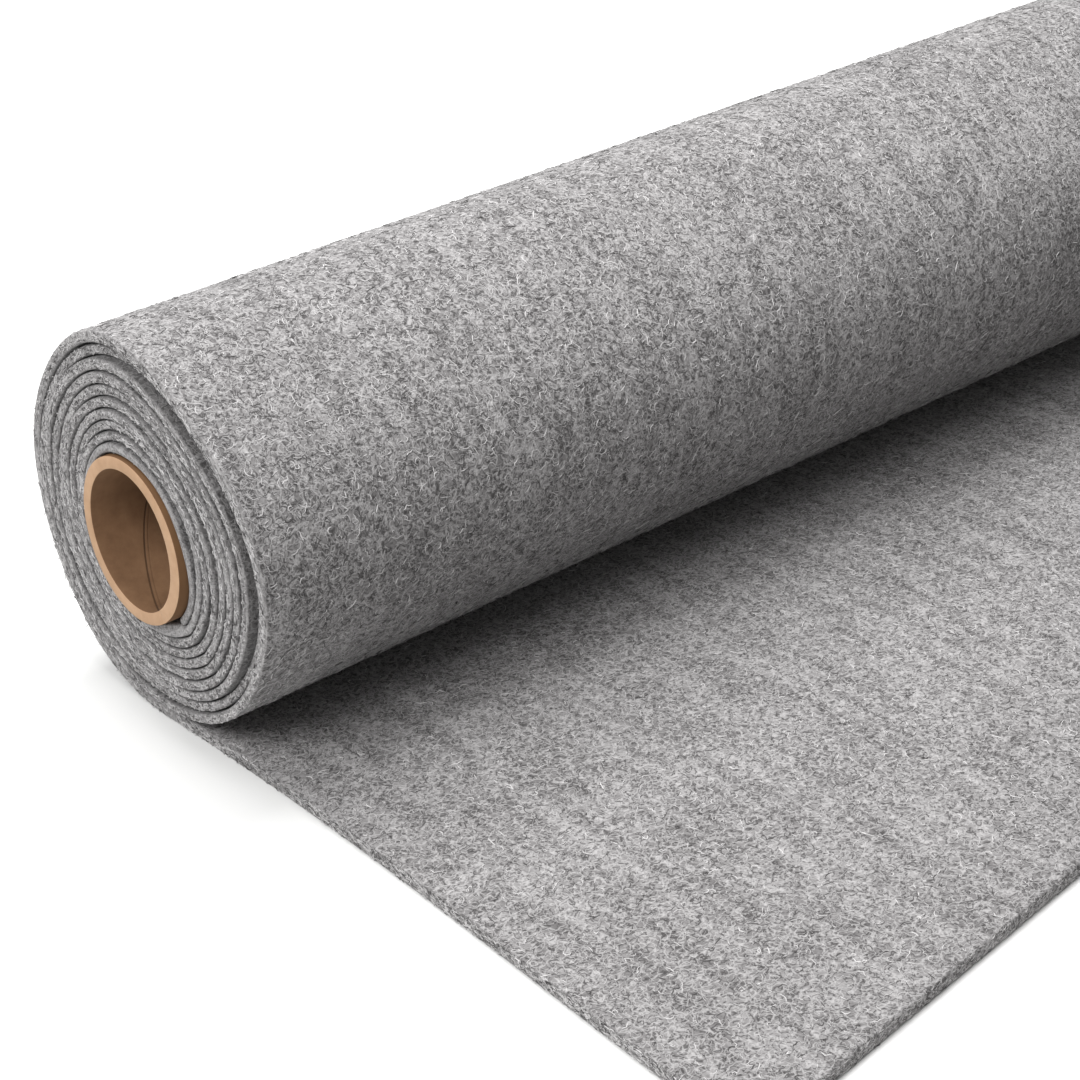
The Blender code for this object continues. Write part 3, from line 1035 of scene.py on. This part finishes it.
        flat = flat * np.cos(lean) + patch.out[:, None, :] * np.sin(lean)
        taper = np.interp(share, (0.0, 0.25, 0.75, 1.0), (self.tip_width, 1.0, 1.0, self.tip_width))
        half = 0.5 * self.width * rng.uniform(*self.widths, count)[:, None] * taper[None, :]
        strips = np.stack([spine + flat * half[..., None], spine - flat * half[..., None]], axis=2)
        strips[..., 2] = np.maximum(strips[..., 2], 0.0)  # None goes through the table.
        return strips

    def build(self, name: str, strips: np.ndarray, material: bpy.types.Material) -> bpy.types.Object:
        """Joins strips into one piece.

        Args:
            name: The piece's name.
            strips: Each strip's points, two by two along it.
            material: The fibres' material.

        Returns:
            The piece's object.
        """
        count = len(strips)
        per = self.points * 2
        corner = np.arange(self.points - 1) * 2
        one = np.stack([corner, corner + 1, corner + 3, corner + 2], -1)
        quads = (np.arange(count)[:, None, None] * per + one[None]).reshape(-1, 4)
        mesh = bpy.data.meshes.new(name)
        mesh.vertices.add(count * per)
        mesh.vertices.foreach_set("co", strips.astype(np.float32).ravel())
        mesh.loops.add(len(quads) * 4)
        mesh.loops.foreach_set("vertex_index", quads.astype(np.int32).ravel())
        mesh.polygons.add(len(quads))
        mesh.polygons.foreach_set("loop_start", np.arange(0, len(quads) * 4, 4, dtype=np.int32))
        mesh.update(calc_edges=True)
        self.write_bake_map(mesh, count)
        mesh.materials.append(material)
        mesh.shade_smooth()
        piece = bpy.data.objects.new(name, mesh)
        bpy.context.scene.collection.objects.link(piece)
        return piece

    def write_bake_map(self, mesh: bpy.types.Mesh, count: int) -> None:
        """Writes a UV map with a small cell for each strip, so that none lies on another.

        Args:
            mesh: The piece's mesh.
            count: Its number of strips.
        """
        grid = math.ceil(math.sqrt(count))
        cell = np.arange(count)
        left, low = (cell % grid) / grid, (cell // grid) / grid
        share = np.linspace(0.1, 0.9, self.points)
        u = left[:, None, None] + np.tile(np.array((0.2, 0.8)), (self.points, 1))[None] / grid
        v = low[:, None, None] + np.repeat(share[:, None], 2, axis=1)[None] / grid
        spots = np.stack([u, v], -1).reshape(-1, 2)
        corners = np.zeros(len(mesh.loops), dtype=np.int64)
        mesh.loops.foreach_get("vertex_index", corners)
        layer = mesh.uv_layers.new(name="OFBake")
        layer.data.foreach_set("uv", spots[corners].astype(np.float32).ravel())

    def dress(self) -> list[bpy.types.Object]:
        """Builds every fibre piece: pale and dark, on the faces and on the cut sides.

        Returns:
            The pieces.
        """
        pale, dark = self.pale.build(), self.dark.build()
        plans = (
            ("roll_fibres_pale", 24000, self.on_roll, pale, 11),
            ("roll_fibres_dark", 20000, self.on_roll, dark, 12),
            ("roll_fibres_pale_over", 10000, self.on_roll, pale, 15),
            ("roll_fibres_dark_over", 8000, self.on_roll, dark, 16),
            ("sheet_fibres_pale", 9000, self.on_sheet, pale, 13),
            ("sheet_fibres_dark", 8000, self.on_sheet, dark, 14),
        )
        pieces = []
        for name, count, place, material, seed in plans:
            rng = np.random.default_rng(seed)
            pieces.append(self.build(name, self.strips(place(count, rng), Lay.ON_FACE, rng), material))
        edges = (("edge_fibres_pale", 1.0, pale, 21), ("edge_fibres_dark", 0.5, dark, 22))
        for name, share, material, seed in edges:
            rng = np.random.default_rng(seed)
            patches = [self.on_end(int(self.end_count * share), side, rng) for side in Side]
            patches += [self.on_side(int(self.side_count * share), side, rng) for side in Side]
            patches.append(self.on_cut(int(self.cut_count * share), rng))
            strips = np.concatenate([self.strips(patch, Lay.ON_RIM, rng) for patch in patches])
            pieces.append(self.build(name, strips, material))
        return pieces


@dataclass
class CoreTube:
    """The cardboard tube in the middle: a wall with slightly worn, pale sawn ends."""

    winding: Winding
    bore: float = 0.0500
    wall: float = 0.0045
    length: float = 1.0122
    askew: float = 0.036
    pressed_in: float = 0.04
    sides: int = 160
    rim: float = 0.0005
    weld: float = 0.000001
    sharp_edge: float = 60.0
    smooth_edge: float = 35.0

    @property
    def centre(self) -> Vector:
        """The middle of the tube."""
        winding = self.winding
        return Vector((0.0, winding.axis_y - winding.core_forward, winding.axis_height + winding.core_rise))

    def build(self, material: bpy.types.Material) -> bpy.types.Object:
        """Builds the tube from a cylinder: ends inset and bridged through, edges rounded.

        Args:
            material: The board's material.

        Returns:
            The tube's object.
        """
        bpy.ops.object.select_all(action="DESELECT")
        radius = self.bore / 2.0 + self.wall
        bpy.ops.mesh.primitive_cylinder_add(
            vertices=self.sides, radius=radius, depth=self.length, location=self.centre,
            rotation=(0.0, math.pi / 2.0, 0.0))
        tube = bpy.context.object
        tube.name = tube.data.name = "core_tube"
        bpy.ops.object.transform_apply(location=True, rotation=True, scale=True)
        bpy.ops.object.mode_set(mode="EDIT")
        bpy.ops.mesh.select_mode(type="FACE")
        bpy.ops.mesh.select_all(action="DESELECT")
        bpy.ops.object.mode_set(mode="OBJECT")
        for face in tube.data.polygons:
            face.select = len(face.vertices) > 4
        bpy.ops.object.mode_set(mode="EDIT")
        bpy.ops.mesh.inset(thickness=self.wall)
        bpy.ops.mesh.bridge_edge_loops()
        bpy.ops.mesh.select_all(action="SELECT")
        bpy.ops.mesh.remove_doubles(threshold=self.weld)
        bpy.ops.mesh.normals_make_consistent(inside=False)
        bpy.ops.object.mode_set(mode="OBJECT")
        # The near end is sawn a little askew, and the front half of the bore is pressed in.
        for vertex in tube.data.vertices:
            forward, up = self.centre.y - vertex.co.y, vertex.co.z - self.centre.z
            if vertex.co.x < 0.0:
                vertex.co.x += self.askew * up
            if forward > 0.0 and math.hypot(forward, up) < self.bore / 2.0 + self.wall / 2.0:
                vertex.co.y += self.pressed_in * forward
        bevel = tube.modifiers.new("rims", "BEVEL")
        bevel.width = self.rim
        bevel.segments = 2
        bevel.limit_method = "ANGLE"
        bevel.angle_limit = math.radians(self.sharp_edge)
        bpy.ops.object.modifier_apply(modifier=bevel.name)
        tube.data.materials.clear()
        tube.data.materials.append(material)
        bpy.ops.object.shade_smooth_by_angle(angle=math.radians(self.smooth_edge))
        return tube


@dataclass(frozen=True)
class Softbox:
    """A soft square light: where it hangs, what it points at, its side in metres and its power in watts."""

    name: str
    spot: tuple[float, float, float]
    aim: tuple[float, float, float]
    size: float
    power: float

    def hang(self) -> None:
        """Hangs the light."""
        data = bpy.data.lights.new(self.name, "AREA")
        data.shape = "SQUARE"
        data.size = self.size
        data.energy = self.power
        light = bpy.data.objects.new(self.name, data)
        way = Vector(self.aim) - Vector(self.spot)
        turn = way.to_track_quat("-Z", "Y").to_matrix().to_4x4()
        light.matrix_world = Matrix.Translation(Vector(self.spot)) @ turn
        bpy.context.scene.collection.objects.link(light)


@dataclass
class Studio:
    """The white table, the soft lights and the camera."""

    focal_pixels: float = 2591.66
    yaw: float = 51.9228
    pitch: float = -29.2314
    roll: float = -3.0002
    spot: tuple[float, float, float] = (-0.86187, -0.56581, 0.48492)
    frame_pixels: int = 1080
    sensor_mm: float = 36.0
    floor_colour: str = "DFDFDE"
    floor_size: float = 30.0
    floor_roughness: float = 0.9
    floor_specular: float = 0.1
    room_light: float = 0.29
    lights: tuple[Softbox, ...] = (
        Softbox("back_softbox", (-0.15, 0.44, 1.24), (-0.15, 0.05, 0.0), 1.0, 26.3),
        Softbox("left_softbox", (-1.75, -0.3, 1.75), (-0.5, 0.1, 0.05), 1.2, 45.0))

    def place_camera(self) -> None:
        """Puts the camera where the picture was taken from."""
        yaw, pitch, roll = (math.radians(angle) for angle in (self.yaw, self.pitch, self.roll))
        ahead = Vector((math.cos(yaw) * math.cos(pitch), math.sin(yaw) * math.cos(pitch), math.sin(pitch)))
        level = Vector((math.sin(yaw), -math.cos(yaw), 0.0))
        up = level.cross(ahead)
        right = math.cos(roll) * level + math.sin(roll) * up
        top = -math.sin(roll) * level + math.cos(roll) * up
        data = bpy.data.cameras.new("camera")
        data.lens = self.focal_pixels / self.frame_pixels * self.sensor_mm
        data.sensor_width = self.sensor_mm
        data.sensor_fit = "HORIZONTAL"
        data.clip_start, data.clip_end = 0.01, 50.0
        camera = bpy.data.objects.new("camera", data)
        bpy.context.scene.collection.objects.link(camera)
        turn = Matrix((right, top, -ahead)).transposed().to_4x4()
        camera.matrix_world = Matrix.Translation(Vector(self.spot)) @ turn
        bpy.context.scene.camera = camera

    def lay_floor(self) -> None:
        """Lays a plain pale floor."""
        bpy.ops.object.select_all(action="DESELECT")
        bpy.ops.mesh.primitive_plane_add(size=self.floor_size, location=(0.0, 0.0, 0.0))
        floor = bpy.context.object
        floor.name = "studio_floor"
        material, _, shader = new_material("white_paper_sweep")
        shader.inputs["Base Color"].default_value = linear(self.floor_colour)
        shader.inputs["Roughness"].default_value = self.floor_roughness
        shader.inputs["Specular IOR Level"].default_value = self.floor_specular
        floor.data.materials.append(material)

    def light_it(self) -> None:
        """Hangs the lights and sets the pale surroundings."""
        world = bpy.data.worlds.new("pale_room")
        bpy.context.scene.world = world
        world.use_nodes = True
        background = world.node_tree.nodes["Background"]
        background.inputs["Color"].default_value = (1.0, 1.0, 1.0, 1.0)
        background.inputs["Strength"].default_value = self.room_light
        for softbox in self.lights:
            softbox.hang()
        bpy.context.scene.view_settings.view_transform = "Standard"
        bpy.context.scene.view_settings.look = "None"


def main() -> None:
    """Builds the part piece by piece and sets up the picture."""
    logging.basicConfig(level=logging.INFO, format="%(name)s: %(message)s")
    winding = Winding()
    studio = Studio()
    studio.place_camera()
    studio.lay_floor()
    studio.light_it()

    felt_length = FeltLength(winding)
    felt = felt_length.build(NeedleFelt().build())
    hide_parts("felt")
    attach(felt, "root")
    LOG.info("felt_length: %d faces", len(felt.data.polygons))

    tube = CoreTube(winding)
    board = SpiralKraft(centre_y=tube.centre.y, centre_z=tube.centre.z, askew=tube.askew)
    core = tube.build(board.build())
    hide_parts("core")
    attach(core, "root")
    LOG.info("core_tube: %d faces", len(core.data.polygons))

    for fibres in Fuzz(winding, felt_length).dress():
        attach(fibres, "root")
        LOG.info("%s: %d faces", fibres.name, len(fibres.data.polygons))


if __name__ == "__main__":
    main()
